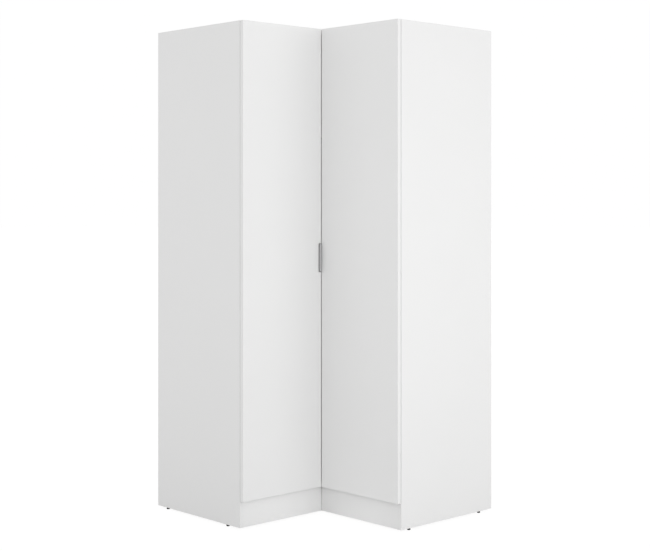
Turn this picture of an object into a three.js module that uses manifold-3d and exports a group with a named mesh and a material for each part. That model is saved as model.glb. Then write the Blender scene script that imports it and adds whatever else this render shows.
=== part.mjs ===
// Corner wardrobe: an L-shaped carcass on low glides, closed by two tall doors
// that meet in the inner corner. Millimetres, +Z up. The origin is the middle of
// the outer box on the floor. The room corner is at (-X, +Y); one wing runs along
// the left wall (-X), the other along the rear wall (+Y).
import * as THREE from 'three';
import { mergeVertices } from 'three/addons/utils/BufferGeometryUtils.js';
import Module from 'manifold-3d';

const wasm = await Module();
wasm.setup();

// ---------------------------------------------------------------- dimensions
const WIDTH_X = 920;          // rear wall, left wall face to right outer face
const WIDTH_Y = 903;          // left wall, rear wall face to left outer face
const HEIGHT = 1842;          // floor to top, glides included
const DEPTH = 500;            // depth of each wing, without its door
const BOARD = 16;             // board thickness
const FOOT_H = 7;             // glides lift the carcass this far
const GAP = 0.3;              // clearance between touching pieces
const DOOR_GAP = 2;           // door back to carcass front
const DOOR_Z0 = 103.5;        // underside of the doors
const MEET_GAP = 1.2;         // from the left door's face to the right door's free edge
const MEET_END = 0.7;         // from the left door's free edge to the right door's face
const PLINTH_TOP = 105;
const SHELF_Z = 1502;         // underside of the hat shelf
const SHELF_SETBACK = 15;
const BACK_T = 3;             // hardboard back
const BACK_INSET = 10;        // back to the outer rear edges
const GROOVE_CLEAR = 0.3;
const GROOVE_DEPTH = 7;
const POST_W = 100;           // width of the rear corner boards
const RAIL_R = 12.5;          // hanging rail
const RAIL_WALL = 1.2;
const RAIL_Z = 1432;
const RAIL_BEND = 200;
const HINGE_A = 5.5;          // pivot from the door's outer edge
const HINGE_B = 10.5;         // pivot from the door's back face
const HINGE_Z = [213, 972.75, 1732];
const CUP_S = 22;             // cup centre from the door's outer edge
const PULL_Z = 974;           // middle of the edge pull
const PULL_H = 105.5;
const PULL_T = 1.8;
const PULL_OUT = 12.6;        // how far the pull stands in front of the door
const PULL_LIP = 6.3;

// ------------------------------------------------------------ derived planes
const X0 = -WIDTH_X / 2, X1 = WIDTH_X / 2;
const Y0 = -WIDTH_Y / 2, Y1 = WIDTH_Y / 2;
const FX = X0 + DEPTH;                  // front plane of the left wing
const FY = Y1 - DEPTH;                  // front plane of the right wing
const LDX = FX + DOOR_GAP;              // back face of the left door
const LDF = LDX + BOARD;                // front face of the left door
const RDY = FY - DOOR_GAP;              // back face of the right door
const RDF = RDY - BOARD;                // front face of the right door
const BOT0 = PLINTH_TOP + GAP, BOT1 = BOT0 + BOARD;
const TOP0 = HEIGHT - BOARD;

// ------------------------------------------------------------------ materials
const white = () => new THREE.MeshStandardMaterial({ color: 0xf1f1f0, roughness: 0.42, metalness: 0 });
const backWhite = () => new THREE.MeshStandardMaterial({ color: 0xeeeeec, roughness: 0.6, metalness: 0 });
const plasticWhite = () => new THREE.MeshStandardMaterial({ color: 0xf4f4f2, roughness: 0.5, metalness: 0 });
const black = () => new THREE.MeshStandardMaterial({ color: 0x151515, roughness: 0.55, metalness: 0 });
const satin = () => new THREE.MeshStandardMaterial({ color: 0xa9a9ab, roughness: 0.35, metalness: 0.9 });
const nickel = () => new THREE.MeshStandardMaterial({ color: 0xb4b2ae, roughness: 0.28, metalness: 1 });
const chrome = () => new THREE.MeshStandardMaterial({ color: 0xc4c6c8, roughness: 0.18, metalness: 1 });
const silicone = () => new THREE.MeshStandardMaterial({ color: 0xd8dadb, roughness: 0.4, metalness: 0 });

// -------------------------------------------------------------------- helpers
function solid(geometry) {
  const g = geometry.clone();
  g.deleteAttribute('normal');
  g.deleteAttribute('uv');
  const m = mergeVertices(g, 1e-5);
  return new wasm.Manifold(new wasm.Mesh({
    numProp: 3,
    vertProperties: new Float32Array(m.attributes.position.array),
    triVerts: new Uint32Array(m.index.array),
  }));
}

function toGeometry(manifold) {
  const mesh = manifold.getMesh();
  const g = new THREE.BufferGeometry();
  g.setAttribute('position', new THREE.BufferAttribute(new Float32Array(mesh.vertProperties), 3));
  g.setIndex(new THREE.BufferAttribute(new Uint32Array(mesh.triVerts), 1));
  const flat = g.toNonIndexed();
  flat.computeVertexNormals();
  return flat;
}

function box(x0, x1, y0, y1, z0, z1) {
  const g = new THREE.BoxGeometry(x1 - x0, y1 - y0, z1 - z0);
  g.translate((x0 + x1) / 2, (y0 + y1) / 2, (z0 + z1) / 2);
  return solid(g);
}

// A cylinder or cone along one axis, from a to b, through the point (u, v) of the
// other two axes in X, Y, Z order.
function rod(axis, u, v, r, a, b, rb = r, seg = 24) {
  const g = new THREE.CylinderGeometry(rb, r, b - a, seg);
  g.translate(0, (a + b) / 2, 0);
  if (axis === 'z') { g.rotateX(Math.PI / 2); g.translate(u, v, 0); }
  if (axis === 'y') g.translate(u, 0, v);
  if (axis === 'x') { g.rotateZ(-Math.PI / 2); g.translate(0, u, v); }
  return solid(g);
}

function prism(shape, z0, z1, curveSegments = 8) {
  const g = new THREE.ExtrudeGeometry(shape, { depth: z1 - z0, bevelEnabled: false, curveSegments });
  g.translate(0, 0, z0);
  return solid(g);
}

function lathe(points, seg = 28) {
  const g = new THREE.LatheGeometry(points.map(([r, z]) => new THREE.Vector2(r, z)), seg);
  g.rotateX(Math.PI / 2);
  return solid(g);
}

const root = new THREE.Group();
function add(name, manifold, material, parent = root) {
  const mesh = new THREE.Mesh(toGeometry(manifold), material);
  mesh.name = name;
  parent.add(mesh);
  return mesh;
}

// L-shaped outline open towards (+X, -Y).
function ell(xa, ya, xb, yb, fx, fy) {
  const s = new THREE.Shape();
  s.moveTo(xa, ya);
  s.lineTo(fx, ya);
  s.lineTo(fx, fy);
  s.lineTo(xb, fy);
  s.lineTo(xb, yb);
  s.lineTo(xa, yb);
  s.closePath();
  return s;
}

// ------------------------------------------------- planes of the thin backs
const BX1 = X0 + BACK_INSET + BACK_T;        // inner face of the side back
const BX0 = X0 + BACK_INSET;
const BY0 = Y1 - BACK_INSET - BACK_T;        // inner face of the rear back
const BY1 = Y1 - BACK_INSET;
const GX0 = BX0 - GROOVE_CLEAR, GX1 = BX1 + GROOVE_CLEAR;
const GY0 = BY0 - GROOVE_CLEAR, GY1 = BY1 + GROOVE_CLEAR;

const footLeft = [[-405, Y0 + BOARD / 2], [-38, Y0 + BOARD / 2]];
const footRight = [[X1 - BOARD / 2, -1], [X1 - BOARD / 2, 385.5]];
const footHole = ([x, y]) => rod('z', x, y, 1.8, FOOT_H - 1, 20.5, 1.8, 12);

// ------------------------------------------------------------------ end panels
{
  let m = box(X0, FX, Y0, Y0 + BOARD, FOOT_H, HEIGHT);
  m = m.subtract(box(GX0, GX1, Y0 + BOARD - GROOVE_DEPTH, Y0 + BOARD + 1, FOOT_H - 1, HEIGHT + 1));
  for (const f of footLeft) m = m.subtract(footHole(f));
  add('left_end_panel', m, white());
}
{
  let m = box(X1 - BOARD, X1, FY, Y1, FOOT_H, HEIGHT);
  m = m.subtract(box(X1 - BOARD - 1, X1 - BOARD + GROOVE_DEPTH, GY0, GY1, FOOT_H - 1, HEIGHT + 1));
  for (const f of footRight) m = m.subtract(footHole(f));
  add('right_end_panel', m, white());
}

// ---------------------------------------------------- top, bottom, hat shelf
const inX1 = X1 - BOARD - GAP, inY0 = Y0 + BOARD + GAP;
{
  let m = prism(ell(X0, inY0, inX1, Y1, FX, FY), TOP0, HEIGHT);
  m = m.subtract(box(GX0, GX1, inY0 - 1, Y1 + 1, TOP0 - 1, TOP0 + 6));
  m = m.subtract(box(X0 - 1, inX1 + 1, GY0, GY1, TOP0 - 1, TOP0 + 6));
  add('top_panel', m, white());
}
{
  let m = prism(ell(X0, inY0, inX1, Y1, FX, FY), BOT0, BOT1);
  m = m.subtract(box(GX0, GX1, inY0 - 1, Y1 + 1, BOT1 - 6, BOT1 + 1));
  m = m.subtract(box(X0 - 1, inX1 + 1, GY0, GY1, BOT1 - 6, BOT1 + 1));
  add('bottom_panel', m, white());
}
add('upper_shelf', prism(
  ell(X0 + BOARD + GAP, inY0, inX1, Y1 - BOARD - GAP, FX - SHELF_SETBACK, FY + SHELF_SETBACK),
  SHELF_Z, SHELF_Z + BOARD), white());

// --------------------------------------------------------------------- plinths
add('plinth_left', box(FX - BOARD, FX, inY0, FY + BOARD, FOOT_H, PLINTH_TOP), white());
add('plinth_right', box(FX + GAP, inX1, FY, FY + BOARD, FOOT_H, PLINTH_TOP), white());
add('plinth_rear_side', box(X0 + BOARD, X0 + 2 * BOARD, inY0, Y1 - BOARD - GAP, FOOT_H, PLINTH_TOP), white());
add('plinth_rear_back', box(X0 + 2 * BOARD + GAP, inX1, Y1 - 2 * BOARD, Y1 - BOARD, FOOT_H, PLINTH_TOP), white());

// ---------------------------------------- rear corner boards and thin backs
{
  const y0 = Y1 - POST_W;
  let m = box(X0, X0 + BOARD, y0, Y1, BOT1 + GAP, TOP0 - GAP);
  m = m.subtract(box(GX0, GX1, y0 - 1, y0 + 8, BOT1, TOP0));
  add('corner_post_side', m, white());
}
{
  const x0 = X0 + BOARD + GAP, x1 = x0 + POST_W;
  let m = box(x0, x1, Y1 - BOARD, Y1, BOT1 + GAP, TOP0 - GAP);
  m = m.subtract(box(x1 - 8, x1 + 1, GY0, GY1, BOT1, TOP0));
  add('corner_post_rear', m, white());
}
const BZ0 = BOT1 - 5.3, BZ1 = TOP0 + 5.4;
{
  const a = Y0 + BOARD - 6, b = Y1 - POST_W + 7, mid = (a + b) / 2;
  add('back_side_front', box(BX0, BX1, a, mid - 1.2, BZ0, BZ1), backWhite());
  add('back_side_rear', box(BX0, BX1, mid + 1.2, b, BZ0, BZ1), backWhite());
  let j = box(BX0 - 1.5, BX1 + 1.5, mid - 10, mid + 10, BOT1 + GAP, TOP0 - GAP);
  j = j.subtract(box(GX0, GX1, mid - 11, mid - 0.8, 0, HEIGHT));
  j = j.subtract(box(GX0, GX1, mid + 0.8, mid + 11, 0, HEIGHT));
  add('back_side_joiner', j, plasticWhite());
}
{
  const a = X0 + BOARD + GAP + POST_W - 7, b = X1 - BOARD + 6, mid = (a + b) / 2;
  add('back_rear_left', box(a, mid - 1.2, BY0, BY1, BZ0, BZ1), backWhite());
  add('back_rear_right', box(mid + 1.2, b, BY0, BY1, BZ0, BZ1), backWhite());
  let j = box(mid - 10, mid + 10, BY0 - 1.5, BY1 + 1.5, BOT1 + GAP, TOP0 - GAP);
  j = j.subtract(box(mid - 11, mid - 0.8, GY0, GY1, 0, HEIGHT));
  j = j.subtract(box(mid + 0.8, mid + 11, GY0, GY1, 0, HEIGHT));
  add('back_rear_joiner', j, plasticWhite());
}

// ----------------------------------------------------------------- hanging rail
const railX = (X0 + FX) / 2, railY = (FY + Y1) / 2;
class RailPath extends THREE.Curve {
  constructor(ya, xb) {
    super();
    this.ya = ya;
    this.xb = xb;
    this.cx = railX + RAIL_BEND;
    this.cy = railY - RAIL_BEND;
  }
  getUtoTmapping(u) { return u; }
  angle(t) { return Math.PI - (Math.PI / 2) * Math.min(1, Math.max(0, (t * 14 - 1) / 12)); }
  getPoint(t, target = new THREE.Vector3()) {
    const k = t * 14;
    if (k < 1) return target.set(railX, this.ya + (this.cy - this.ya) * k, 0);
    if (k > 13) return target.set(this.cx + (this.xb - this.cx) * (k - 13), railY, 0);
    const a = this.angle(t);
    return target.set(this.cx + RAIL_BEND * Math.cos(a), this.cy + RAIL_BEND * Math.sin(a), 0);
  }
  getTangent(t, target = new THREE.Vector3()) {
    const a = this.angle(t);
    return target.set(Math.sin(a), -Math.cos(a), 0).normalize();
  }
}
{
  const ring = new THREE.Shape();
  ring.absarc(0, 0, RAIL_R, 0, Math.PI * 2, false);
  const hole = new THREE.Path();
  hole.absarc(0, 0, RAIL_R - RAIL_WALL, 0, Math.PI * 2, true);
  ring.holes.push(hole);
  const path = new RailPath(inY0 + 3 + GAP, inX1 - 3 - GAP);
  const g = new THREE.ExtrudeGeometry(ring, { steps: 14, bevelEnabled: false, extrudePath: path, curveSegments: 8 });
  const mesh = add('hanging_rail', solid(g), chrome());
  mesh.position.set(0, 0, RAIL_Z);
}
const rosette = () => {
  let m = rod('z', 0, 0, 21, 0, 3, 20, 28);
  m = m.add(rod('z', 0, 0, 16, 2, 14, 15.5, 28));
  return m.subtract(rod('z', 0, 0, RAIL_R + GAP, 3, 15, RAIL_R + GAP, 28));
};
{
  const a = add('rail_flange_left', rosette(), chrome());
  a.position.set(railX, inY0, RAIL_Z);
  a.rotation.x = -Math.PI / 2;
  const b = add('rail_flange_right', rosette(), chrome());
  b.position.set(inX1, railY, RAIL_Z);
  b.rotation.y = -Math.PI / 2;
}
{
  // Ring round the rail in the middle of its bend, hung from the shelf.
  let m = rod('x', 0, 0, 16, -7, 7, 16, 28);
  m = m.add(box(-6, 6, -2, 2, 14, SHELF_Z - RAIL_Z - GAP - 1));
  m = m.add(box(-14, 14, -24, 24, SHELF_Z - RAIL_Z - GAP - 2.5, SHELF_Z - RAIL_Z - GAP));
  m = m.subtract(rod('x', 0, 0, RAIL_R + 0.9, -8, 8, RAIL_R + 0.9, 28));
  m = m.subtract(rod('z', 0, 17, 2.2, 60, 80, 2.2, 12));
  m = m.subtract(rod('z', 0, -17, 2.2, 60, 80, 2.2, 12));
  const h = add('rail_hanger', m, chrome());
  const c = RAIL_BEND * Math.SQRT1_2;
  h.position.set(railX + RAIL_BEND - c, railY - RAIL_BEND + c, RAIL_Z);
  h.rotation.z = Math.PI / 4;
}

// ------------------------------------------------------------------------ feet
const glide = () => lathe([[0, 0], [5.2, 0], [6, 0.8], [6, FOOT_H - GAP], [1.5, FOOT_H - GAP], [1.5, 18.4], [0.4, 19.6], [0, 19.6]], 20);
[['foot_left_rear', footLeft[0]], ['foot_left_front', footLeft[1]],
 ['foot_right_front', footRight[0]], ['foot_right_rear', footRight[1]]].forEach(([n, p]) => {
  add(n, glide(), black()).position.set(p[0], p[1], 0);
});
const leg = () => lathe([[0, 0], [19, 0], [21, 1.5], [21, 6], [15, 12], [14, 84], [17, 93], [28, 98], [28, PLINTH_TOP], [0, PLINTH_TOP]], 28);
add('support_leg_inner', leg(), black()).position.set(FX - 62, FY + 62, 0);
add('support_leg_rear', leg(), black()).position.set(X0 + 76, Y1 - 76, 0);

// ----------------------------------------------- brackets that tie it to a wall
{
  // Steel angle: one leg under the top, one against the back, with round screw holes.
  const angle = () => {
    let m = box(0, 2, -17, 17, -42, 0);
    m = m.add(box(0, 40, -17, 17, -2, 0));
    m = m.subtract(rod('x', 0, -28, 3, -1, 3, 3, 16));
    m = m.subtract(rod('z', 14, 0, 2.3, -3, 1, 2.3, 12));
    return m.subtract(rod('z', 30, 0, 2.3, -3, 1, 2.3, 12));
  };
  const a = add('wall_bracket_side', angle(), nickel());
  a.position.set(BX1 + GAP, -210, TOP0 - GAP);
  const b = add('wall_bracket_rear', angle(), nickel());
  b.position.set(230, BY0 - GAP, TOP0 - GAP);
  b.rotation.z = -Math.PI / 2;
}

// ---------------------------------------------------------------------- hinges
// Local frame of a hinge: x runs inward from the door's outer edge, y runs out of
// the cabinet from the door's back face, z is up and down from the cup's middle.
function arcBand(r0, r1, a0, a1) {
  const d = Math.PI / 180, s = new THREE.Shape();
  s.absarc(HINGE_A, HINGE_B, r1, a0 * d, a1 * d, false);
  s.absarc(HINGE_A, HINGE_B, r0, a1 * d, a0 * d, true);
  s.closePath();
  return s;
}
const hingeCup = () => {
  let m = rod('y', CUP_S, 0, 17.3, -1.3, 11.7, 17.3, 28);
  m = m.add(rod('y', CUP_S, 0, 19, -1.3, -0.3, 19, 28));
  m = m.add(box(24, 36.5, -1.3, -0.3, -28, 28));
  m = m.subtract(rod('y', CUP_S, 0, 16.3, -2, 10.9, 16.3, 28));
  m = m.subtract(rod('y', 30.5, -24, 2, -3, 1, 2, 12));
  m = m.subtract(rod('y', 30.5, 24, 2, -3, 1, 2, 12));
  return m.add(prism(arcBand(23.9, 25.6, -37, 1.8), -5, 5, 5));
};
const hingeLink = () => prism(arcBand(26, 28, -61, 0), -6, 6, 8);
const hingeArm = () => {
  let m = box(18.6, 27, -62, -14.8, -8, 8);
  m = m.subtract(box(18, 25.4, -60.4, -16.6, -6.4, 6.4));
  m = m.subtract(rod('x', -50, 0, 2.6, 24, 28, 2.6, 12));
  m = m.subtract(rod('x', -34, 0, 2.6, 24, 28, 2.6, 12));
  return m.add(prism(arcBand(28.4, 30.4, -64, 0), -7, 7, 8));
};
const hingePlate = () => {
  let m = box(16.3, 18.3, -61, -18, -8.5, 8.5);
  m = m.add(box(16.3, 18.3, -51, -31, -27, 27));
  m = m.subtract(rod('x', -41, 20, 2.4, 15, 20, 2.4, 12));
  return m.subtract(rod('x', -41, -20, 2.4, 15, 20, 2.4, 12));
};
const HINGE_NAMES = ['lower', 'middle', 'upper'];
function hingeGroup(side, z) {
  const g = new THREE.Group();
  if (side === 'right') {
    g.position.set(X1, RDY, z);
    g.rotation.z = Math.PI;
  } else {
    g.position.set(LDX, Y0, z);
    g.quaternion.setFromAxisAngle(new THREE.Vector3(1, 1, 0).normalize(), Math.PI);
  }
  root.add(g);
  return g;
}
for (const side of ['left', 'right']) {
  HINGE_Z.forEach((z, i) => {
    const g = hingeGroup(side, z), n = `${side}_hinge_`;
    add(`${n}plate_${HINGE_NAMES[i]}`, hingePlate(), nickel(), g);
    add(`${n}arm_${HINGE_NAMES[i]}`, hingeArm(), nickel(), g);
    add(`${n}link_${HINGE_NAMES[i]}`, hingeLink(), nickel(), g);
    add(`${n}cup_${HINGE_NAMES[i]}`, hingeCup(), nickel(), g);
  });
}

// ----------------------------------------------------------------------- doors
const LEFT_END = RDF - MEET_END;        // free edge of the left door, along y
const RIGHT_END = LDF + MEET_GAP;       // free edge of the right door, along x
{
  let m = box(LDX, LDF, Y0, LEFT_END, DOOR_Z0, HEIGHT);
  for (const z of HINGE_Z) m = m.subtract(rod('x', Y0 + CUP_S, z, 17.7, LDX - 1, LDX + 12.2, 17.7, 28));
  // Finger notch behind the pull, so that the doors open one by one.
  const n0 = RDF - PULL_OUT - 1.2, h = PULL_H / 2 + 1.5, r = 1, s = new THREE.Shape();
  s.moveTo(LEFT_END + 5, -h);
  s.lineTo(LEFT_END + 5, h);
  s.lineTo(n0 + r, h);
  s.absarc(n0 + r, h - r, r, Math.PI / 2, Math.PI, false);
  s.lineTo(n0, -h + r);
  s.absarc(n0 + r, -h + r, r, Math.PI, Math.PI * 1.5, false);
  s.closePath();
  const g = new THREE.ExtrudeGeometry(s, { depth: BOARD + 4, bevelEnabled: false, curveSegments: 3 });
  // Shape x -> Y, shape y -> Z, depth -> X.
  g.applyMatrix4(new THREE.Matrix4().makeBasis(
    new THREE.Vector3(0, 1, 0), new THREE.Vector3(0, 0, 1), new THREE.Vector3(1, 0, 0)));
  g.translate(LDX - 2, 0, PULL_Z);
  m = m.subtract(solid(g));
  add('left_door', m, white());
}
const SCREW_Y = RDY - 7.5, SCREW_DZ = 38;
{
  let m = box(RIGHT_END, X1, RDF, RDY, DOOR_Z0, HEIGHT);
  for (const z of HINGE_Z) m = m.subtract(rod('y', X1 - CUP_S, z, 17.7, RDY - 12.2, RDY + 1, 17.7, 28));
  m = m.subtract(box(RIGHT_END - 1, RIGHT_END + PULL_T + GAP, RDF - 1, RDY + 1,
    PULL_Z - PULL_H / 2 - GAP, PULL_Z + PULL_H / 2 + GAP));
  for (const d of [-SCREW_DZ, SCREW_DZ]) {
    m = m.subtract(rod('x', SCREW_Y, PULL_Z + d, 1.9, RIGHT_END, RIGHT_END + 16, 1.9, 12));
  }
  add('right_door', m, white());
}

// ------------------------------------------------------------------- edge pull
{
  const x0 = RIGHT_END, x1 = x0 + PULL_T, x2 = x0 + PULL_LIP;
  const y0 = RDF - PULL_OUT, y1 = y0 + PULL_T, y2 = RDY - 0.5;
  const p = new THREE.Shape();
  p.moveTo(x0, y2);
  p.lineTo(x0, y0 + 1.2);
  p.absarc(x0 + 1.2, y0 + 1.2, 1.2, Math.PI, Math.PI * 1.5, false);
  p.lineTo(x2 - 0.9, y0);
  p.absarc(x2 - 0.9, y0 + 0.9, 0.9, -Math.PI / 2, Math.PI / 2, false);
  p.lineTo(x1 + 1.2, y1);
  p.absarc(x1 + 1.2, y1 + 1.2, 1.2, Math.PI * 1.5, Math.PI, true);
  p.lineTo(x1, y2);
  p.closePath();
  let m = prism(p, PULL_Z - PULL_H / 2, PULL_Z + PULL_H / 2, 8);
  // Round the free corners, seen along x.
  const h = PULL_H / 2, r = 4.5, q = new THREE.Shape();
  q.moveTo(y2 + 1, -h);
  q.lineTo(y2 + 1, h);
  q.lineTo(y0 + r, h);
  q.absarc(y0 + r, h - r, r, Math.PI / 2, Math.PI, false);
  q.lineTo(y0, -h + r);
  q.absarc(y0 + r, -h + r, r, Math.PI, Math.PI * 1.5, false);
  q.closePath();
  const g = new THREE.ExtrudeGeometry(q, { depth: 20, bevelEnabled: false, curveSegments: 8 });
  g.applyMatrix4(new THREE.Matrix4().makeBasis(
    new THREE.Vector3(0, 1, 0), new THREE.Vector3(0, 0, 1), new THREE.Vector3(1, 0, 0)));
  g.translate(x0 - 5, 0, PULL_Z);
  m = m.intersect(solid(g));
  for (const d of [-SCREW_DZ, SCREW_DZ]) {
    m = m.subtract(rod('x', SCREW_Y, PULL_Z + d, 4.4, x0 - 0.2, x1 + 0.1, 2.2, 20));
  }
  add('edge_pull', m, satin());
  [['pull_screw_lower', -SCREW_DZ], ['pull_screw_upper', SCREW_DZ]].forEach(([n, d]) => {
    const s = rod('x', SCREW_Y, PULL_Z + d, 3.7, x0 + 0.2, x1 - 0.1, 1.9, 20)
      .add(rod('x', SCREW_Y, PULL_Z + d, 1.6, x0 + 1, x0 + 14, 1.3, 12));
    add(n, s, nickel());
  });
}

// ------------------------------------------------------------- buffer pads
add('left_door_buffer', rod('x', LEFT_END - 14, HEIGHT - BOARD / 2, 5, LDX - 1.7, LDX - GAP, 5, 20), silicone());
{
  const m = rod('y', RIGHT_END + 14, HEIGHT - BOARD / 2, 5, RDY + GAP, RDY + 1.7, 5, 20);
  add('right_door_buffer', m, silicone());
}

export default root;
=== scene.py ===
import bmesh
import bpy
import math
from mathutils import Matrix, Vector


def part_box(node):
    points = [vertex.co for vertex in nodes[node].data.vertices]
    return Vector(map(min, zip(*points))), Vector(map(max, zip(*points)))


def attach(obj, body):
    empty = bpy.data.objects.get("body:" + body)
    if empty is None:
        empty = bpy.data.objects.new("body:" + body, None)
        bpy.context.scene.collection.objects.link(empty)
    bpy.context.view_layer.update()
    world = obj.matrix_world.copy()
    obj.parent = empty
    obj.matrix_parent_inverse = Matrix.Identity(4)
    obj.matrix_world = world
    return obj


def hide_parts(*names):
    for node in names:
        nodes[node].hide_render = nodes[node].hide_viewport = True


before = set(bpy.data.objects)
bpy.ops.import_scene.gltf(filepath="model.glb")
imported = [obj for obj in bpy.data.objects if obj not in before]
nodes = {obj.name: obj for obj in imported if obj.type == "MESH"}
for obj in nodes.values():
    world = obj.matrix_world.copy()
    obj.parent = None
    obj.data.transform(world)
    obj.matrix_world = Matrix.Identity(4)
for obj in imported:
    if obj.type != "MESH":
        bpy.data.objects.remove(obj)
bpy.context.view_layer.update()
scene = bpy.context.scene
MM = 0.001

# --------------------------------------------------------------------- camera
cam_data = bpy.data.cameras.new("camera")
cam = bpy.data.objects.new("camera", cam_data)
scene.collection.objects.link(cam)
cam.location = (3.7503, -3.4928, 1.1900)
cam.rotation_euler = (math.radians(90), 0, math.radians(46.984))
cam_data.sensor_width = 36
cam_data.lens = 73.42
cam_data.shift_x = 0
cam_data.shift_y = -0.11504
cam_data.clip_end = 200
scene.camera = cam
scene.view_settings.view_transform = "Standard"
scene.view_settings.look = "None"


# -------------------------------------------------------------- node helpers
class Tree:
    """A small builder for one node tree."""

    def __init__(self, tree):
        self.t = tree
        tree.nodes.clear()

    def add(self, kind, **props):
        n = self.t.nodes.new(kind)
        for k, v in props.items():
            setattr(n, k, v)
        return n

    def link(self, a, b):
        self.t.links.new(a, b)

    def put(self, socket, value):
        if isinstance(value, bpy.types.NodeSocket):
            self.link(value, socket)
        else:
            socket.default_value = value

    def math(self, op, a, b=None, c=None, clamp=False):
        n = self.add("ShaderNodeMath", operation=op, use_clamp=clamp)
        self.put(n.inputs[0], a)
        if b is not None:
            self.put(n.inputs[1], b)
        if c is not None:
            self.put(n.inputs[2], c)
        return n.outputs[0]

    def range(self, v, a, b, c, d, smooth=False):
        n = self.add("ShaderNodeMapRange")
        n.interpolation_type = "SMOOTHSTEP" if smooth else "LINEAR"
        for s, x in zip(n.inputs[:5], (v, a, b, c, d)):
            self.put(s, x)
        return n.outputs[0]

    def noise(self, vec, scale, detail=3.0, rough=0.5):
        n = self.add("ShaderNodeTexNoise")
        self.link(vec, n.inputs["Vector"])
        n.inputs["Scale"].default_value = scale
        n.inputs["Detail"].default_value = detail
        n.inputs["Roughness"].default_value = rough
        return n.outputs["Fac"]

    def scaled(self, vec, s):
        n = self.add("ShaderNodeMapping")
        self.link(vec, n.inputs["Vector"])
        n.inputs["Scale"].default_value = s
        return n.outputs["Vector"]

    def mix(self, fac, a, b):
        n = self.add("ShaderNodeMix", data_type="RGBA")
        self.put(n.inputs["Factor"], fac)
        for s, x in ((n.inputs[6], a), (n.inputs[7], b)):
            if isinstance(x, bpy.types.NodeSocket):
                self.link(x, s)
            else:
                s.default_value = (*x, 1)
        return n.outputs[2]

    def bump(self, height, strength, distance):
        n = self.add("ShaderNodeBump")
        n.inputs["Strength"].default_value = strength
        n.inputs["Distance"].default_value = distance
        self.link(height, n.inputs["Height"])
        return n.outputs["Normal"]


def material(name, colour):
    m = bpy.data.materials.new(name)
    m.use_nodes = True
    m.diffuse_color = (*colour, 1)
    t = Tree(m.node_tree)
    out = t.add("ShaderNodeOutputMaterial")
    p = t.add("ShaderNodeBsdfPrincipled")
    t.link(p.outputs[0], out.inputs[0])
    co = t.add("ShaderNodeTexCoord").outputs["Object"]
    return m, t, p, co


def xyz(t, co):
    s = t.add("ShaderNodeSeparateXYZ")
    t.link(co, s.inputs[0])
    return s.outputs[0], s.outputs[1], s.outputs[2]


def chipboard(t, co):
    """Colour and height of a cut particle board edge: flakes and fine pits."""
    v = t.add("ShaderNodeTexVoronoi")
    t.link(t.scaled(co, (1, 1, 1)), v.inputs["Vector"])
    v.inputs["Scale"].default_value = 520
    flakes = t.noise(co, 900, 2, 0.6)
    tone = t.mix(v.outputs["Color"], (0.34, 0.235, 0.14), (0.52, 0.40, 0.27))
    return t.mix(t.range(flakes, 0.40, 0.62, 0, 1), tone, (0.46, 0.34, 0.22)), flakes


def melamine(name, band=None, raw=None, painted_light_lift=0.0, joint=None):
    """White melamine on particle board. band = (axis u, axis v, u0, u1, v0, v1) draws the
    glue line of the edge band 0.9 mm inside the outline of the board's two faces. raw is a
    list of (axis, sign, value): the outside of that plane is an uncovered edge. joint is
    (axis, value, width, depth): painted shade, a dark band wider than the real butt joint, standing in for the shadow
    in that joint."""
    # painted_light_lift raises the white: painted light, which makes one board brighter than its twins
    white = (0.85 + painted_light_lift, 0.85 + painted_light_lift, 0.848 + painted_light_lift)
    m, t, p, co = material(name, white)
    broad = t.noise(co, 5.0, 2, 0.5)
    fine = t.noise(co, 1400, 2, 0.6)
    grain = t.noise(t.scaled(co, (1, 1, 0.35)), 420, 3, 0.6)
    base = t.mix(broad, tuple(c * 0.992 for c in white), tuple(c * 1.006 for c in white))
    base = t.mix(t.range(grain, 0.35, 0.65, 0, 0.025), base, (0.70, 0.70, 0.695))
    height = t.math("ADD", t.math("MULTIPLY", fine, 0.5), t.math("MULTIPLY", grain, 0.8))
    rough = t.range(broad, 0.3, 0.7, 0.40, 0.46)
    ax = dict(zip("xyz", xyz(t, co)))
    if band:
        u, v, u0, u1, v0, v1 = band
        du = t.math("MINIMUM", t.math("SUBTRACT", ax[u], u0), t.math("SUBTRACT", u1, ax[u]))
        dv = t.math("MINIMUM", t.math("SUBTRACT", ax[v], v0), t.math("SUBTRACT", v1, ax[v]))
        d = t.math("MINIMUM", du, dv)
        off = t.math("ABSOLUTE", t.math("SUBTRACT", d, 0.9 * MM))
        line = t.range(off, 0.06 * MM, 0.16 * MM, 1, 0)
        base = t.mix(t.math("MULTIPLY", line, 0.30), base, (0.42, 0.41, 0.39))
        height = t.math("SUBTRACT", height, t.math("MULTIPLY", line, 1.2))
    if raw:
        core, flakes = chipboard(t, co)
        mask = None
        for axis, sign, value in raw:
            k = t.math("GREATER_THAN", t.math("MULTIPLY", ax[axis], sign), sign * value)
            mask = k if mask is None else t.math("MAXIMUM", mask, k)
        base = t.mix(mask, base, core)
        rough = t.math("ADD", rough, t.math("MULTIPLY", mask, 0.42))
        height = t.math("ADD", height, t.math("MULTIPLY", t.math("MULTIPLY", flakes, mask), 6))
    # painted shade: the white is darkened towards near-black in a band at the butt joint, in place of the shadow there
    if joint:
        axis, value, width, depth = joint
        off = t.math("ABSOLUTE", t.math("SUBTRACT", ax[axis], value))
        shade = t.range(t.math("ADD", off, t.math("MULTIPLY", t.math("SUBTRACT", broad, 0.5), width * 0.3)),
                        width * 0.55, width, depth, 0, True)
        base = t.mix(shade, base, (0.10, 0.098, 0.094))
    t.link(base, p.inputs["Base Color"])
    t.link(rough, p.inputs["Roughness"])
    t.link(t.bump(height, 0.35, 0.00004), p.inputs["Normal"])
    p.inputs["IOR"].default_value = 1.5
    return m


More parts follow.
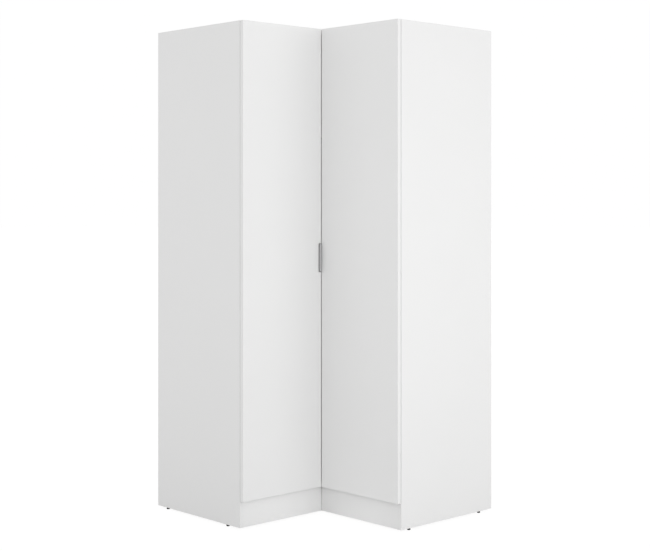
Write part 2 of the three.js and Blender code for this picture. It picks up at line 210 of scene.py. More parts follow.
def hardboard(name, axis, sign, value):
    """Thin fibre board: lacquered white on the inside, bare brown fibre on the outside."""
    m, t, p, co = material(name, (0.77, 0.77, 0.765))
    ax = dict(zip("xyz", xyz(t, co)))
    outside = t.math("GREATER_THAN", t.math("MULTIPLY", ax[axis], sign), sign * value)
    fibre = t.noise(co, 700, 5, 0.7)
    cloud = t.noise(co, 9, 4, 0.55)
    threads = t.noise(t.scaled(co, (1, 1, 0.12)), 950, 4, 0.6)
    white = t.mix(cloud, (0.765, 0.765, 0.758), (0.785, 0.785, 0.780))
    brown = t.mix(fibre, (0.235, 0.150, 0.083), (0.330, 0.222, 0.130))
    brown = t.mix(t.range(cloud, 0.30, 0.72, 0, 0.42, True), brown, (0.375, 0.262, 0.162))
    clumps = t.noise(co, 85, 4, 0.62)
    brown = t.mix(t.range(clumps, 0.52, 0.72, 0, 0.38, True), brown, (0.195, 0.122, 0.066))
    brown = t.mix(t.range(threads, 0.60, 0.74, 0, 0.6), brown, (0.44, 0.325, 0.21))
    t.link(t.mix(outside, white, brown), p.inputs["Base Color"])
    t.link(t.range(outside, 0, 1, 0.50, 0.80), p.inputs["Roughness"])
    screen = None                  # print of the press screen, a fine woven grid on the bare side
    for k in ("z", "y" if axis == "x" else "x"):
        wave = t.math("SINE", t.math("MULTIPLY", ax[k], 2 * math.pi / 0.0022))
        screen = wave if screen is None else t.math("MULTIPLY", screen, wave)
    h = t.math("ADD", fibre, t.math("MULTIPLY", threads, 0.6))
    h = t.math("ADD", h, t.math("MULTIPLY", t.math("MULTIPLY", screen, outside), 0.8))
    t.link(t.bump(h, 0.5, 0.00007), p.inputs["Normal"])
    return m


def plastic(name, colour, rough, grain=0.00004, scale=1800, dust=None, shine=0.5):
    m, t, p, co = material(name, colour)
    fine = t.noise(co, scale, 3, 0.6)
    broad = t.noise(co, 40, 3, 0.5)
    base = t.mix(broad, tuple(c * 0.93 for c in colour), tuple(min(1, c * 1.05) for c in colour))
    if dust:
        base = t.mix(t.range(fine, 0.55, 0.75, 0, 0.35), base, dust)
    t.link(base, p.inputs["Base Color"])
    t.link(t.range(broad, 0.3, 0.7, rough - 0.05, rough + 0.06), p.inputs["Roughness"])
    t.link(t.bump(fine, 0.5, grain), p.inputs["Normal"])
    p.inputs["IOR"].default_value = 1.48
    p.inputs["Specular IOR Level"].default_value = shine
    return m


def metal(name, colour, rough, streak=(1, 1, 0.02), scale=2600, depth=0.000012, spread=0.10, aniso=0.0):
    """Metal with fine drawn lines; streak flattens the noise along the lines' direction."""
    m, t, p, co = material(name, colour)
    lines = t.noise(t.scaled(co, streak), scale, 3, 0.65)
    broad = t.noise(co, 60, 3, 0.5)
    base = t.mix(lines, tuple(c * 0.90 for c in colour), tuple(min(1, c * 1.06) for c in colour))
    t.link(base, p.inputs["Base Color"])
    r = t.math("ADD", t.range(lines, 0.3, 0.7, rough - spread / 2, rough + spread / 2),
               t.range(broad, 0.3, 0.7, -0.02, 0.03))
    t.link(r, p.inputs["Roughness"])
    t.link(t.bump(lines, 0.6, depth), p.inputs["Normal"])
    p.inputs["Metallic"].default_value = 1.0
    p.inputs["Anisotropic"].default_value = aniso
    return m


def silicone(name):
    m, t, p, co = material(name, (0.80, 0.81, 0.82))
    haze = t.noise(co, 500, 3, 0.6)
    t.link(t.mix(haze, (0.74, 0.75, 0.76), (0.86, 0.87, 0.88)), p.inputs["Base Color"])
    t.link(t.range(haze, 0.3, 0.7, 0.28, 0.42), p.inputs["Roughness"])
    p.inputs["Transmission Weight"].default_value = 0.55
    p.inputs["IOR"].default_value = 1.41
    t.link(t.bump(haze, 0.3, 0.00003), p.inputs["Normal"])
    return m


M = {
    "joiner": plastic("white_plastic", (0.78, 0.78, 0.775), 0.42),
    "cover": plastic("cover_plastic", (0.80, 0.80, 0.795), 0.38),
    "black": plastic("black_plastic", (0.020, 0.020, 0.021), 0.50, 0.00006, 1300, dust=(0.09, 0.088, 0.085)),
    "glide": plastic("glide_plastic", (0.008, 0.008, 0.0085), 0.55, 0.00006, 1300, shine=0.3),
    "pull": metal("satin_aluminium", (0.60, 0.60, 0.605), 0.42, (1, 1, 0.015), 3200, 0.00001, 0.12),
    "nickel": metal("nickel_steel", (0.60, 0.585, 0.56), 0.26, (1, 1, 1), 1700, 0.00001, 0.10),
    "zinc": metal("zinc_casting", (0.50, 0.50, 0.50), 0.42, (1, 1, 1), 2200, 0.00003, 0.16),
    "chrome": metal("chrome_tube", (0.68, 0.69, 0.70), 0.13, (0.06, 0.06, 1), 1500, 0.000004, 0.05),
    "silicone": silicone("clear_silicone"),
}


# ------------------------------------------------------------- mesh helpers
def finish_mesh(name, bm, mat, body, bevel=0.0, segs=2, angle=32):
    """Closes the mesh data, marks the sharp edges, and rides the new piece on a body."""
    bmesh.ops.remove_doubles(bm, verts=bm.verts, dist=1e-7)
    bmesh.ops.recalc_face_normals(bm, faces=bm.faces)
    for f in bm.faces:
        f.smooth = True
    for e in bm.edges:
        if len(e.link_faces) == 2:
            e.smooth = e.calc_face_angle(0.0) < math.radians(angle)
    me = bpy.data.meshes.new(name)
    bm.to_mesh(me)
    bm.free()
    me.materials.append(mat)
    o = bpy.data.objects.new(name, me)
    scene.collection.objects.link(o)
    if bevel:
        b = o.modifiers.new("edges", "BEVEL")
        b.width = bevel * MM
        b.segments = segs
        b.limit_method = "ANGLE"
        b.angle_limit = math.radians(angle)
        b.use_clamp_overlap = True
        b.harden_normals = False
    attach(o, body)
    return o


def join_into(bm, other, matrix=None):
    """Adds the second mesh's shell to the first one."""
    if matrix is not None:
        bmesh.ops.transform(other, matrix=matrix, verts=other.verts)
    me = bpy.data.meshes.new("t")
    other.to_mesh(me)
    other.free()
    bm.from_mesh(me)
    bpy.data.meshes.remove(me)
    return bm


def lathe(points, seg=64):
    """A closed shell of revolution about Z from (r, z) points in mm; r = 0 ends on the axis."""
    bm = bmesh.new()
    rings = []
    for r, z in points:
        if r <= 1e-9:
            rings.append([bm.verts.new((0, 0, z * MM))])
        else:
            rings.append([bm.verts.new((r * MM * math.cos(2 * math.pi * i / seg),
                                        r * MM * math.sin(2 * math.pi * i / seg), z * MM)) for i in range(seg)])
    closed = points[0][0] > 1e-9 and points[-1][0] > 1e-9
    pairs = list(zip(rings, rings[1:])) + ([(rings[-1], rings[0])] if closed else [])
    for a, b in pairs:
        for i in range(seg):
            j = (i + 1) % seg
            if len(a) == 1 and len(b) == 1:
                continue
            if len(a) == 1:
                bm.faces.new((a[0], b[i], b[j]))
            elif len(b) == 1:
                bm.faces.new((a[i], b[0], a[j]))
            else:
                bm.faces.new((a[i], b[i], b[j], a[j]))
    bmesh.ops.recalc_face_normals(bm, faces=bm.faces)
    return bm


def plate(outline, z0, z1, holes=()):
    """A flat plate in mm between z0 and z1, with an outline and holes given as closed loops."""
    bm = bmesh.new()
    loops = [outline, *holes]
    sides = []
    for z in (z0, z1):
        edges, rows = [], []
        for loop in loops:
            vs = [bm.verts.new((x * MM, y * MM, z * MM)) for x, y in loop]
            edges += [bm.edges.new((vs[i], vs[(i + 1) % len(vs)])) for i in range(len(vs))]
            rows.append(vs)
        if holes:
            bmesh.ops.triangle_fill(bm, use_beauty=True, edges=edges)
        else:
            bm.faces.new(rows[0])
        sides.append(rows)
    for low, high in zip(*sides):
        for i in range(len(low)):
            j = (i + 1) % len(low)
            bm.faces.new((low[i], low[j], high[j], high[i]))
    bmesh.ops.recalc_face_normals(bm, faces=bm.faces)
    return bm


def circle(cx, cy, r, n=40, a0=0.0):
    return [(cx + r * math.cos(a0 + 2 * math.pi * i / n), cy + r * math.sin(a0 + 2 * math.pi * i / n)) for i in range(n)]


def round_rect(x0, x1, y0, y1, r, n=8):
    pts = []
    for cx, cy, a in ((x1 - r, y1 - r, 0), (x0 + r, y1 - r, 90), (x0 + r, y0 + r, 180), (x1 - r, y0 + r, 270)):
        pts += [(cx + r * math.cos(math.radians(a + 90 * k / n)), cy + r * math.sin(math.radians(a + 90 * k / n)))
                for k in range(n + 1)]
    return pts


def cross(size, width, a=0.0):
    s, w = size, width
    pts = [(w, s), (-w, s), (-w, w), (-s, w), (-s, -w), (-w, -w), (-w, -s), (w, -s), (w, -w), (s, -w), (s, w), (w, w)]
    c, d = math.cos(a), math.sin(a)
    return [(x * c - y * d, x * d + y * c) for x, y in pts]


def screw_head(r, h, turn=0.3, depth=None):
    """A low round head on z = 0 with a cross recess, in mm."""
    depth = depth or h * 0.7
    seg = 40
    bm = bmesh.new()
    prof = [(r, 0.0), (r, h * 0.35), (r * 0.93, h * 0.72), (r * 0.74, h * 0.95), (r * 0.6, h)]
    rings = [[bm.verts.new((x * MM, y * MM, z * MM)) for x, y in circle(0, 0, rr, seg)] for rr, z in prof]
    for a, b in zip(rings, rings[1:]):
        for i in range(seg):
            j = (i + 1) % seg
            bm.faces.new((a[i], a[j], b[j], b[i]))
    bm.faces.new(rings[0][::-1])
    top = rings[-1]
    cr = cross(r * 0.48, r * 0.11, turn)
    up = [bm.verts.new((x * MM, y * MM, h * MM)) for x, y in cr]
    dn = [bm.verts.new((x * 0.8 * MM, y * 0.8 * MM, (h - depth) * MM)) for x, y in cr]
    edges = [bm.edges.get((top[i], top[(i + 1) % seg])) or bm.edges.new((top[i], top[(i + 1) % seg])) for i in range(seg)]
    edges += [bm.edges.new((up[i], up[(i + 1) % 12])) for i in range(12)]
    bmesh.ops.triangle_fill(bm, use_beauty=True, edges=edges)
    for i in range(12):
        j = (i + 1) % 12
        bm.faces.new((up[i], up[j], dn[j], dn[i]))
    bm.faces.new(dn)
    bmesh.ops.recalc_face_normals(bm, faces=bm.faces)
    return bm


def placed(origin, x, z):
    """A matrix with its local X and Z along the given row directions, its origin in mm."""
    z, x = Vector(z).normalized(), Vector(x).normalized()
    y = z.cross(x)
    m = Matrix((x, y, z)).transposed().to_4x4()
    m.translation = Vector(origin) * MM
    return m


def swept(section, frames):
    """A closed tube wall: section is a list of closed loops (outer, inner) of (u, v) in mm,
    frames a list of (origin, u axis, v axis)."""
    bm = bmesh.new()
    rows = []
    for o, u, v in frames:
        rows.append([[bm.verts.new((Vector(o) + Vector(u) * a + Vector(v) * b) * MM) for a, b in loop] for loop in section])
    for A, B in zip(rows, rows[1:]):
        for la, lb in zip(A, B):
            n = len(la)
            for i in range(n):
                j = (i + 1) % n
                bm.faces.new((la[i], la[j], lb[j], lb[i]))
    for R in (rows[0], rows[-1]):
        if len(R) == 2:
            a, b = R
            n = len(a)
            for i in range(n):
                j = (i + 1) % n
                bm.faces.new((a[i], a[j], b[j], b[i]))
        else:
            bm.faces.new(R[0])
    bmesh.ops.recalc_face_normals(bm, faces=bm.faces)
    return bm


# ------------------------------------------------------------- boards and doors
def dress(node, mat, bevel, segs=3, angle=30):
    """Softens the arrises of a carried-over board and gives it its material."""
    o = nodes[node]
    w = o.modifiers.new("weld", "WELD")
    w.merge_threshold = 0.00002
    d = o.modifiers.new("planar", "DECIMATE")
    d.decimate_type = "DISSOLVE"
    d.angle_limit = math.radians(0.6)
    if bevel:
        b = o.modifiers.new("arris", "BEVEL")
        b.width = bevel * MM
        b.segments = segs
        b.limit_method = "ANGLE"
        b.angle_limit = math.radians(angle)
        b.use_clamp_overlap = False
        b.miter_outer = "MITER_ARC"
    o.data.materials.clear()
    o.data.materials.append(mat)
    return o


def span(node):
    lo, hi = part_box(node)
    return lo, hi


DOOR_EDGE, BOARD_EDGE = 0.5, 0.35

lo, hi = span("left_door")
dress("left_door", melamine("left_door_white", band=("y", "z", lo.y, hi.y, lo.z, hi.z)), DOOR_EDGE, 4)
lo, hi = span("right_door")
dress("right_door", melamine("right_door_white", band=("x", "z", lo.x, hi.x, lo.z, hi.z)), DOOR_EDGE, 4)

lo, hi = span("left_end_panel")
dress("left_end_panel", melamine("left_end_white", band=("x", "z", lo.x - 1, hi.x, lo.z - 1, hi.z),
                                 raw=[("x", -1, lo.x + 0.00006), ("z", -1, lo.z + 0.00006)]), BOARD_EDGE)
lo, hi = span("right_end_panel")
dress("right_end_panel", melamine("right_end_white", band=("y", "z", lo.y, hi.y + 1, lo.z - 1, hi.z),
                                  raw=[("y", 1, hi.y - 0.00006), ("z", -1, lo.z + 0.00006)]), BOARD_EDGE)

for n in ("top_panel", "bottom_panel"):
    lo, hi = span(n)
    dress(n, melamine(n + "_white", raw=[("x", -1, lo.x + 0.00006), ("y", 1, hi.y - 0.00006)]), BOARD_EDGE)
lo, hi = span("upper_shelf")
dress("upper_shelf", melamine("upper_shelf_white", raw=[("x", -1, lo.x + 0.00006), ("y", 1, hi.y - 0.00006)]), BOARD_EDGE)

INNER = (span("plinth_left")[1].x, span("plinth_right")[0].y)      # where the two plinths meet
# the plinths carry painted shade, a dark band along the inner corner where they meet
for n, joint in (("plinth_left", ("y", INNER[1], 1.0 * MM, 0.4)), ("plinth_right", ("x", INNER[0], 1.8 * MM, 0.8)),
                 ("plinth_rear_side", None), ("plinth_rear_back", None)):
    lo, hi = span(n)
    # plinth_left gets painted light: its white is made lighter than the other plinths' so its shaded face reads
    # brighter
    dress(n, melamine(n + "_white", raw=[("z", -1, lo.z + 0.00006)], joint=joint,
                      painted_light_lift=0.02 if n == "plinth_left" else 0.0), BOARD_EDGE)
lo, hi = span("corner_post_side")
dress("corner_post_side", melamine("corner_side_white"), BOARD_EDGE)
dress("corner_post_rear", melamine("corner_rear_white"), BOARD_EDGE)

lo, hi = span("back_side_front")
side_back = hardboard("side_back_board", "x", -1, lo.x + 0.0001)
for n in ("back_side_front", "back_side_rear"):
    dress(n, side_back, 0.15, 1)
lo, hi = span("back_rear_left")
rear_back = hardboard("rear_back_board", "y", 1, hi.y - 0.0001)
for n in ("back_rear_left", "back_rear_right"):
    dress(n, rear_back, 0.15, 1)
for n in ("back_side_joiner", "back_rear_joiner"):
    dress(n, M["joiner"], 0.3, 2)

dress("edge_pull", M["pull"], 0.18, 2, 35)
for n in ("wall_bracket_side", "wall_bracket_rear"):
    dress(n, M["nickel"], 0.25, 2)
for n in ("left_door_buffer", "right_door_buffer"):
    dress(n, M["silicone"], 0.3, 2)

# -------------------------------------------------------------------- screws
def shanked(r, h, shank, length, turn=0.3):
    """A screw along Z: head on z = 0 upward, threaded shank downward."""
    bm = screw_head(r, h, turn)
    prof, k = [(0, 0.05)], 0
    prof.append((shank * 0.82, 0.05))
    while 0.4 + k * 1.0 < length - 2:
        z = -0.4 - k * 1.0
        prof += [(shank * 0.82, z), (shank, z - 0.35), (shank * 0.82, z - 0.7)]
        k += 1
    prof += [(shank * 0.7, -length + 1.2), (0, -length)]
    return join_into(bm, lathe(prof, 24))


for n in ("lower", "upper"):
    lo, hi = span("pull_screw_" + n)
    bm = shanked(3.6, 1.1, 1.55, 12.2, 0.5 if n == "lower" else 1.1)
    at = (lo.x / MM + 1.15, (lo.y + hi.y) / 2 / MM, (lo.z + hi.z) / 2 / MM)
    bmesh.ops.transform(bm, matrix=placed(at, (0, 0, 1), (-1, 0, 0)), verts=bm.verts)
    o = finish_mesh("pull_fixing_" + n, bm, M["nickel"], "right_door")
    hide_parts("pull_screw_" + n)

lo, hi = span("wall_bracket_side")
bm = bmesh.new()
for d in (14, 30):
    join_into(bm, screw_head(4.0, 1.7, 0.2 * d), placed((lo.x / MM + d, (lo.y + hi.y) / 2 / MM, hi.z / MM - 2), (1, 0, 0), (0, 0, -1)))
lo, hi = span("wall_bracket_rear")
for d in (14, 30):
    join_into(bm, screw_head(4.0, 1.7, 0.3 * d), placed(((lo.x + hi.x) / 2 / MM, hi.y / MM - d, hi.z / MM - 2), (1, 0, 0), (0, 0, -1)))
finish_mesh("bracket_screws", bm, M["nickel"], "carcass")

# -------------------------------------------------------------------- hinges
DOOR_R, DOOR_L = span("right_door"), span("left_door")
PIVOT = (5.5, 10.5)


def hinge_matrix(side, z):
    """x runs inward from the door's outer edge, y out of the cabinet, z upward (right) or down (left)."""
    if side == "right":
        m = Matrix(((-1, 0, 0), (0, -1, 0), (0, 0, 1))).to_4x4()
        m.translation = Vector((DOOR_R[1].x, DOOR_R[1].y, z * MM))
    else:
        m = Matrix(((0, 1, 0), (1, 0, 0), (0, 0, -1))).to_4x4()
        m.translation = Vector((DOOR_L[0].x, DOOR_L[0].y, z * MM))
    return m


def arc_band(r0, r1, a0, a1, n=22):
    out = []
    for r, ks in ((r1, range(n + 1)), (r0, range(n, -1, -1))):
        for k in ks:
            a = math.radians(a0 + (a1 - a0) * k / n)
            out.append((PIVOT[0] + r * math.cos(a), PIVOT[1] + r * math.sin(a)))
    return out


def arc(cx, cy, r, a0, a1, n):
    return [(cx + r * math.cos(math.radians(a0 + (a1 - a0) * k / n)), cy + r * math.sin(math.radians(a0 + (a1 - a0) * k / n)))
            for k in range(n + 1)]


FLAT = Matrix(((1, 0, 0), (0, 0, 1), (0, 1, 0))).to_4x4()      # (s, z, n) drawn flat -> (s, n, z)
SIDE = Matrix(((0, 0, 1), (1, 0, 0), (0, 1, 0))).to_4x4()      # (n, z, s) drawn flat -> (s, n, z)


def cup_parts():
    """Pressed cup with its screw ears and the tongue that the link turns on."""
    a0, a1 = math.degrees(math.atan2(12.28, 14.5)), math.degrees(math.atan2(18.89, 2.0))
    out = arc(22, 0, 19, -a0, a0, 14)
    out += arc(31.5, 23, 5, 0, 90, 8) + arc(29, 23, 5, 90, 180, 8)
    out += arc(22, 0, 19, a1, 360 - a1, 40)
    out += arc(29, -23, 5, 180, 270, 8) + arc(31.5, -23, 5, 270, 360, 8)
    bm = plate(out, -1.3, -0.3, [circle(22, 0, 16.4, 56), circle(30.5, 24, 2.0, 20), circle(30.5, -24, 2.0, 20)])
    bmesh.ops.transform(bm, matrix=FLAT, verts=bm.verts)
    bowl = lathe([(16.3, -0.9), (16.5, -0.5), (17.3, -0.5), (17.3, 10.9), (17.0, 11.4), (16.4, 11.7), (0, 11.7), (0, 10.9),
                  (15.4, 10.9), (16.0, 10.6), (16.3, 10.0)], 56)
    join_into(bm, bowl, Matrix.Translation((0.022, 0, 0)) @ FLAT)
    join_into(bm, plate(arc_band(23.9, 25.6, -37, 1.8), -5, 5))
    pin = lathe([(0, -11), (1.4, -11), (1.6, -10.8), (1.6, 10.8), (1.4, 11), (0, 11)], 20)
    join_into(bm, pin, Matrix.Translation((0.0315, 0.0088, 0)))
    return bm


def arm_parts():
    """Channel that clips over the mounting plate, and the tongue that follows the link."""
    holes = [circle(-50, 0, 2.6, 24), circle(-34, 0, 2.6, 24)]
    bm = plate(round_rect(-62, -14.8, -8, 8, 2.0, 5), 25.4, 27.0, holes)
    for z0 in (-8.0, 6.5):
        join_into(bm, plate([(-61.6, z0), (-15.2, z0), (-15.2, z0 + 1.5), (-61.6, z0 + 1.5)], 18.7, 25.9))
    join_into(bm, plate([(-61.9, -6.9), (-60.5, -6.9), (-60.5, 6.9), (-61.9, 6.9)], 19.4, 25.9))
    join_into(bm, plate([(-16.4, -6.9), (-14.9, -6.9), (-14.9, 6.9), (-16.4, 6.9)], 19.4, 25.9))
    bmesh.ops.transform(bm, matrix=SIDE, verts=bm.verts)
    return join_into(bm, plate(arc_band(28.4, 30.4, -64, 0), -7, 7))


def base_parts():
    """Mounting plate with its two screw wings."""
    out = arc(-33, 23, 4, 0, 90, 6) + arc(-49 + 2, 23, 4, 90, 180, 6) + [(-51, 8.5)]
    out += arc(-59, 6.5, 2, 90, 180, 4) + arc(-59, -6.5, 2, 180, 270, 4) + [(-51, -8.5)]
    out += arc(-47, -23, 4, 180, 270, 6) + arc(-35, -23, 4, 270, 360, 6) + [(-31, -8.5)]
    out += arc(-20, -6.5, 2, 270, 360, 4) + arc(-20, 6.5, 2, 0, 90, 4) + [(-31, 8.5)]
    out[:7] = arc(-35, 23, 4, 0, 90, 6)
    bm = plate(out, 16.3, 18.3, [circle(-41, 20, 2.4, 20), circle(-41, -20, 2.4, 20)])
    bmesh.ops.transform(bm, matrix=SIDE, verts=bm.verts)
    return bm


for side in ("left", "right"):
    for level, z in (("lower", 213.0), ("middle", 972.75), ("upper", 1732.0)):
        m, tag = hinge_matrix(side, z), f"{side}_{level}"
        turn = 0.4 * z + (1 if side == "left" else 0)
        for kind, build, body in (("cup", cup_parts, f"{side}_door"), ("arm", arm_parts, "carcass"), ("plate", base_parts, "carcass"),
                                  ("link", lambda: plate(arc_band(26, 28, -61, 0, 26), -6, 6), f"{side}_hinge_links")):
            bm = build()
            bmesh.ops.transform(bm, matrix=m, verts=bm.verts)
            o = finish_mesh(f"hinge_{kind}_{tag}", bm, M["nickel"], body, 0.16, 2)
            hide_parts(f"{side}_hinge_{kind}_{level}")
        bm = bmesh.new()
        for k in (-24, 24):
            join_into(bm, screw_head(3.5, 1.3, turn + k), placed((30.5, -1.3, k), (1, 0, 0), (0, -1, 0)))
        bmesh.ops.transform(bm, matrix=m, verts=bm.verts)
        finish_mesh("cup_screws_" + tag, bm, M["nickel"], f"{side}_door")
        bm = bmesh.new()
        for k in (-20, 20):
            join_into(bm, screw_head(4.0, 1.8, turn - k), placed((18.3, -41, k), (0, 1, 0), (1, 0, 0)))
        for k in (-50, -34):
            join_into(bm, screw_head(2.5, 1.7, turn + k), placed((25.6, k, 0), (0, 1, 0), (1, 0, 0)))
        bmesh.ops.transform(bm, matrix=m, verts=bm.verts)
        finish_mesh("plate_screws_" + tag, bm, M["nickel"], "carcass")

# ------------------------------------------- cover caps of the hidden cam locks
for n, spots in (("top_panel", [(-400, -401.5), (-20, -401.5), (410, 0), (410, 395)]),
                 ("upper_shelf", [(-400, -401.5), (-20, -401.5), (410, 10), (410, 395)])):
    z = span(n)[0].z / MM
    bm = bmesh.new()
    for x, y in spots:
        cap = lathe([(0, 0.2), (5.5, 0.2), (5.5, -0.05), (8.1, -0.05), (8.3, -0.2), (8.2, -0.55), (7.6, -0.9), (6.0, -1.05), (1.4, -1.1), (1.0, -0.8), (0, -0.75)], 40)
        join_into(bm, cap, Matrix.Translation(Vector((x, y, z)) * MM))
    finish_mesh("cam_covers_" + n.split("_")[0], bm, M["cover"], "carcass")

# ---------------------------------------------------------------------- rail
lo, hi = span("hanging_rail")
RZ = (lo.z + hi.z) / 2 / MM
RX, RY = lo.x / MM + 12.5, hi.y / MM - 12.5
BEND = 200.0
cx, cy = RX + BEND, RY - BEND
frames = [((RX, lo.y / MM, RZ), (1, 0, 0), (0, 0, 1)), ((RX, lo.y / MM + 60, RZ), (1, 0, 0), (0, 0, 1))]
for k in range(0, 65):
    a = math.pi - (math.pi / 2) * k / 64
    frames.append(((cx + BEND * math.cos(a), cy + BEND * math.sin(a), RZ), (-math.cos(a), -math.sin(a), 0), (0, 0, 1)))
frames += [((hi.x / MM - 60, RY, RZ), (0, -1, 0), (0, 0, 1)), ((hi.x / MM, RY, RZ), (0, -1, 0), (0, 0, 1))]
rail = finish_mesh("rail_tube", swept([circle(0, 0, 12.5, 56), circle(0, 0, 11.3, 56)], frames), M["chrome"], "carcass")
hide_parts("hanging_rail")

flange = [(12.8, 3), (12.8, 13.6), (13.2, 14), (15.2, 14), (15.7, 13.5), (16, 4.6), (16.6, 3.4), (17.6, 3), (20.2, 2.7),
          (20.8, 2.1), (21, 1.2), (21, 0), (0, 0), (0, 3)]
for n, m in (("left", placed((RX, lo.y / MM - 3.3, RZ), (1, 0, 0), (0, 1, 0))),
             ("right", placed((hi.x / MM + 3.3, RY, RZ), (0, 1, 0), (-1, 0, 0)))):
    bm = lathe(flange, 72)
    bmesh.ops.transform(bm, matrix=m, verts=bm.verts)
    o = finish_mesh(f"rail_socket_{n}", bm, M["chrome"], "carcass")
    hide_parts(f"rail_flange_{n}")

# Ring round the rail's bend, its stem and the plate under the shelf.
hx, hy = cx - BEND * math.sqrt(0.5), cy + BEND * math.sqrt(0.5)
SHELF = span("upper_shelf")[0].z / MM - RZ - 0.3
prof = [(13.4, -6.4), (14.0, -7.0), (15.3, -7.0), (16.0, -6.2), (16.0, 6.2), (15.3, 7.0), (14.0, 7.0), (13.4, 6.4)]
bm = lathe(prof, 72)
bmesh.ops.transform(bm, matrix=Matrix.Rotation(math.radians(90), 4, "Y"), verts=bm.verts)
join_into(bm, plate(round_rect(-6, 6, -2, 2, 1.4), 15.4, SHELF - 2.4))
hole = [circle(0, 17, 2.2, 24), circle(0, -17, 2.2, 24)]
join_into(bm, plate(round_rect(-14, 14, -24, 24, 4), SHELF - 2.5, SHELF, hole))
for s in (-17, 17):
    join_into(bm, screw_head(3.8, 1.9, 0.4 + s), placed((0, s, SHELF - 2.4), (1, 0, 0), (0, 0, -1)))
m = Matrix.Translation(Vector((hx, hy, RZ)) * MM) @ Matrix.Rotation(math.radians(45), 4, "Z")
bmesh.ops.transform(bm, matrix=m, verts=bm.verts)
o = finish_mesh("rail_ring", bm, M["chrome"], "carcass")
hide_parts("rail_hanger")

# ---------------------------------------------------------------------- feet
glide = [(0, 0), (5.0, 0), (5.55, 0.2), (5.9, 0.6), (6, 1.1), (6, 6.2), (5.85, 6.6), (5.6, 6.7), (1.5, 6.7), (1.5, 18.4), (0.4, 19.6), (0, 19.6)]
for n in ("foot_left_rear", "foot_left_front", "foot_right_front", "foot_right_rear"):
    lo, hi = span(n)
    bm = lathe(glide, 48)
    bmesh.ops.translate(bm, verts=bm.verts, vec=((lo.x + hi.x) / 2, (lo.y + hi.y) / 2, 0))
    o = finish_mesh(n.replace("foot", "glide"), bm, M["glide"], "carcass")
    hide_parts(n)
leg = [(0, 0), (18.5, 0), (20.3, 0.6), (21, 1.9), (21, 5.2), (20.2, 6.6), (16.4, 9.2), (15.2, 11.6), (14.7, 15), (14.7, 20),
       (13.9, 20.6), (13.9, 34), (14.9, 34.6), (14.9, 38), (14.2, 38.6), (14.0, 84), (14.6, 88.5), (17, 93), (25.5, 97.2),
       (27.6, 98.4), (28, 99.4), (28, 104.6), (27.6, 105), (0, 105)]
for n in ("support_leg_inner", "support_leg_rear"):
    lo, hi = span(n)
    bm = lathe(leg, 56)
    for k in range(8):
        a = math.pi / 4 * k
        rib = plate([(13.2, -1.1), (26.4, -1.1), (26.4, 1.1), (13.2, 1.1)], 84, 98.2)
        for v in rib.verts:
            if v.co.z < 0.09 and v.co.x > 0.02:
                v.co.x = 0.0142
        join_into(bm, rib, Matrix.Rotation(a, 4, "Z"))
    bmesh.ops.translate(bm, verts=bm.verts, vec=((lo.x + hi.x) / 2, (lo.y + hi.y) / 2, 0))
    o = finish_mesh(n.replace("support", "levelling"), bm, M["black"], "carcass")
    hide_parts(n)

# ------------------------------------------------------------ stage and light
SKY, SKY_SIDE, SKY_TOP = 0.98, 0.05, 0.82   # dome radiance, how much brighter its +X side is, share overhead
BOUNCE_NEAR, BOUNCE_FAR = 0.48, 0.62        # colour of the hidden bounce floor: darker by the object as painted shade, paler further out
SIDE_POWER = 18                             # softbox beyond the right end, in watts
FRONT_POWER = 14                            # softbox that looks into the inner corner
LEFT_POWER = 7                              # softbox in front of the left end
CORNER_GLOW = 0.27                          # painted glow: light the hidden bounce floor emits in front of the inner corner, standing in for bounce light


def sheet_object(name, size, z, mat):
    bm = bmesh.new()
    bmesh.ops.create_grid(bm, x_segments=6, y_segments=6, size=size)
    bmesh.ops.translate(bm, verts=bm.verts, vec=(0, 0, z))
    me = bpy.data.meshes.new(name)
    bm.to_mesh(me)
    bm.free()
    me.materials.append(mat)
    o = bpy.data.objects.new(name, me)
    scene.collection.objects.link(o)
    return o


def stage_material(name, colour, glow):
    m, t, p, co = material(name, colour)
    soft = t.noise(co, 1.5, 2, 0.5)
    t.link(t.mix(soft, tuple(c * 0.99 for c in colour), tuple(c * 1.01 for c in colour)), p.inputs["Base Color"])
    p.inputs["Roughness"].default_value = 0.9
    p.inputs["Specular IOR Level"].default_value = 0.1
    p.inputs["Emission Color"].default_value = (1, 1, 1, 1)
    p.inputs["Emission Strength"].default_value = glow
    return m


# The pale floor that is seen, and just under it the one that lights the object from below.
floor = sheet_object("floor", 60, 0.0, stage_material("studio_floor", (0.06, 0.06, 0.06), 0.95))
floor.visible_diffuse = False
floor.visible_shadow = False
bounce_mat, t, p, co = material("bounce", (0.5, 0.5, 0.5))
bx, by, _ = xyz(t, co)
away = t.math("SQRT", t.math("ADD", t.math("MULTIPLY", bx, bx), t.math("MULTIPLY", by, by)))
# painted shade: the hidden floor's colour darkens towards the object, dimming the light it gives the lower parts
t.link(t.mix(t.range(away, 0.4, 2.6, 0, 1, True), (BOUNCE_NEAR,) * 3, (BOUNCE_FAR,) * 3), p.inputs["Base Color"])
# painted glow: the hidden floor emits light in a patch in front of the inner corner, lifting the plinths and the doors'
# lower parts
dx, dy = t.math("SUBTRACT", bx, 0.22), t.math("ADD", by, 0.14)
near = t.math("SQRT", t.math("ADD", t.math("MULTIPLY", dx, dx), t.math("MULTIPLY", dy, dy)))
p.inputs["Emission Color"].default_value = (1, 1, 1, 1)
t.link(t.range(near, 0.05, 0.34, CORNER_GLOW, 0, True), p.inputs["Emission Strength"])
p.inputs["Roughness"].default_value = 1.0
p.inputs["Specular IOR Level"].default_value = 0.0
bounce = sheet_object("bounce_floor", 60, -0.002, bounce_mat)
bounce.visible_camera = False
bounce.visible_glossy = False

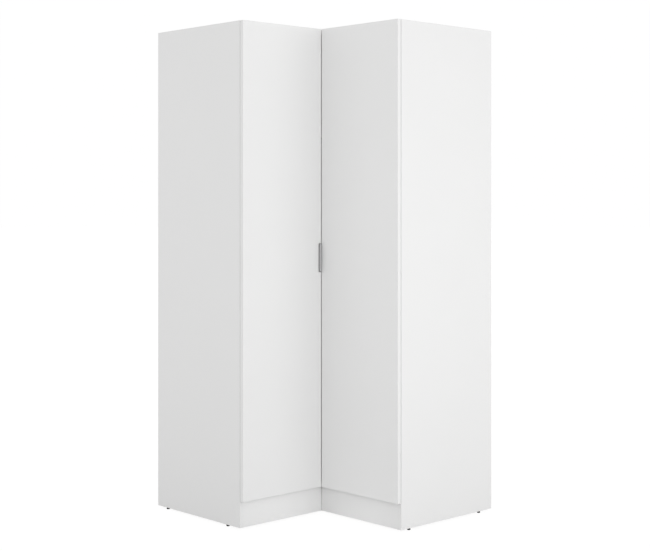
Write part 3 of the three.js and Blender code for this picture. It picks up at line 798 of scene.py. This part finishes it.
# White backdrop all round, seen by the camera only.
bm = bmesh.new()
bmesh.ops.create_cone(bm, cap_ends=True, segments=96, radius1=55, radius2=40, depth=60)
bmesh.ops.translate(bm, verts=bm.verts, vec=(0, 0, 29))
bmesh.ops.reverse_faces(bm, faces=bm.faces)
me = bpy.data.meshes.new("backdrop")
bm.to_mesh(me)
bm.free()
me.materials.append(stage_material("backdrop_white", (0.02, 0.02, 0.02), 0.985))
backdrop = bpy.data.objects.new("backdrop", me)
scene.collection.objects.link(backdrop)
for k in ("visible_diffuse", "visible_glossy", "visible_transmission", "visible_shadow", "visible_volume_scatter"):
    setattr(backdrop, k, False)

world = bpy.data.worlds.new("studio")
scene.world = world
world.use_nodes = True
t = Tree(world.node_tree)
bg, out = t.add("ShaderNodeBackground"), t.add("ShaderNodeOutputWorld")
t.link(bg.outputs[0], out.inputs[0])
sep = t.add("ShaderNodeSeparateXYZ")
t.link(t.add("ShaderNodeTexCoord").outputs["Generated"], sep.inputs[0])
side = t.math("MULTIPLY_ADD", sep.outputs[0], SKY_SIDE, SKY)
lum = t.math("MULTIPLY", side, t.range(sep.outputs[2], 0.35, 0.95, 1.0, SKY_TOP, True))
comb = t.add("ShaderNodeCombineXYZ")
for i in range(3):
    t.link(lum, comb.inputs[i])
t.link(comb.outputs[0], bg.inputs["Color"])
bg.inputs["Strength"].default_value = 1.0



def softbox(name, loc, target, size, power):
    d = bpy.data.lights.new(name, "AREA")
    d.shape = "RECTANGLE"
    d.size, d.size_y = size
    d.energy = power
    o = bpy.data.objects.new(name, d)
    scene.collection.objects.link(o)
    o.location = loc
    o.rotation_euler = (Vector(target) - Vector(loc)).to_track_quat("-Z", "Y").to_euler()
    o.visible_camera = False
    return o


softbox("right_softbox", (4.2, 1.1, 1.45), (0.46, 0, 1.2), (1.9, 1.9), SIDE_POWER)
softbox("front_softbox", (3.2, -1.1, 1.0), (0, 0, 0.9), (1.8, 1.8), FRONT_POWER)
softbox("left_softbox", (-1.1, -3.7, 1.2), (0, -0.4, 1.1), (1.9, 1.9), LEFT_POWER)
